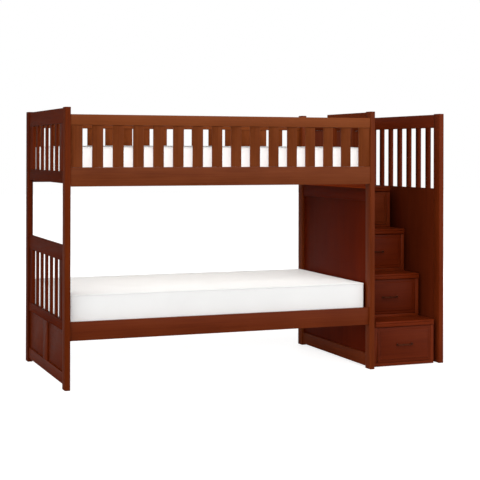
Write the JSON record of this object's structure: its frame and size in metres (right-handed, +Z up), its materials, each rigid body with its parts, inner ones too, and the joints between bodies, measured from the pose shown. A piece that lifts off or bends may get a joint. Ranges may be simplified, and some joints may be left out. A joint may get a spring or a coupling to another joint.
{
  "type": "bunk bed",
  "caption": "Wooden twin-over-twin bunk bed with slatted guards and a storage staircase whose steps are drawers.",
  "frame": {"origin": "middle of the footprint, on the floor", "axes": "+Z up; +X along the bed towards the stairs; +Y from the open front towards the wall side"},
  "size_m": [2.524, 1.106, 1.63],
  "materials": {
    "cherry_wood": "reddish-brown stain under satin lacquer",
    "unfinished_wood": "sanded, unfinished",
    "ticking": "white quilted cover",
    "dark_bronze": "dark bronze"
  },
  "bodies": {
    "frame": {"back_bottom_rail": "cherry_wood", "back_panel": "cherry_wood", "back_top_rail": "cherry_wood", "front_guard": "cherry_wood", "landing": "cherry_wood", "left_bottom_rail": "cherry_wood", "left_centre_stile": "cherry_wood", "left_lower_gallery": "cherry_wood", "left_panel_front": "cherry_wood", "left_panel_rear": "cherry_wood", "left_upper_gallery": "cherry_wood", "lower_front_ledger": "unfinished_wood", "lower_front_rail": "cherry_wood", "lower_mattress": "ticking", "lower_rear_ledger": "unfinished_wood", "lower_rear_rail": "cherry_wood", "lower_slats": "unfinished_wood", "middle_bottom_rail": "cherry_wood", "middle_cross_rail": "cherry_wood", "middle_guard": "cherry_wood", "middle_panel": "cherry_wood", "middle_panel_rail": "cherry_wood", "outer_bottom_rail": "cherry_wood", "outer_panel": "cherry_wood", "outer_railing": "cherry_wood", "post_left_front": "cherry_wood", "post_left_rear": "cherry_wood", "post_middle_front": "cherry_wood", "post_middle_rear": "cherry_wood", "post_outer_front": "cherry_wood", "post_outer_rear": "cherry_wood", "rear_guard": "cherry_wood", "stair_bearer_left": "cherry_wood", "stair_bearer_right": "cherry_wood", "step_1_box": "cherry_wood", "step_2_box": "cherry_wood", "step_3_box": "cherry_wood", "step_4_box": "cherry_wood", "tread_1": "cherry_wood", "tread_2": "cherry_wood", "tread_3": "cherry_wood", "upper_front_ledger": "unfinished_wood", "upper_front_rail": "cherry_wood", "upper_mattress": "ticking", "upper_rear_ledger": "unfinished_wood", "upper_rear_rail": "cherry_wood", "upper_slats": "unfinished_wood"},
    "drawer_1": {"drawer_1_front": "cherry_wood", "drawer_1_box": "unfinished_wood", "drawer_1_pull": "dark_bronze"},
    "drawer_2": {"drawer_2_front": "cherry_wood", "drawer_2_box": "unfinished_wood", "drawer_2_pull": "dark_bronze"},
    "drawer_3": {"drawer_3_front": "cherry_wood", "drawer_3_box": "unfinished_wood", "drawer_3_pull": "dark_bronze"},
    "drawer_4": {"drawer_4_front": "cherry_wood", "drawer_4_box": "unfinished_wood", "drawer_4_pull": "dark_bronze"}
  },
  "joints": [
    {"name": "drawer_1_slide", "type": "slide", "parent": "frame", "child": "drawer_1", "axis": [0, -1, 0], "range_m": [0, 0.32]},
    {"name": "drawer_2_slide", "type": "slide", "parent": "frame", "child": "drawer_2", "axis": [0, -1, 0], "range_m": [0, 0.32]},
    {"name": "drawer_3_slide", "type": "slide", "parent": "frame", "child": "drawer_3", "axis": [0, -1, 0], "range_m": [0, 0.32]},
    {"name": "drawer_4_slide", "type": "slide", "parent": "frame", "child": "drawer_4", "axis": [0, -1, 0], "range_m": [0, 0.32]}
  ]
}
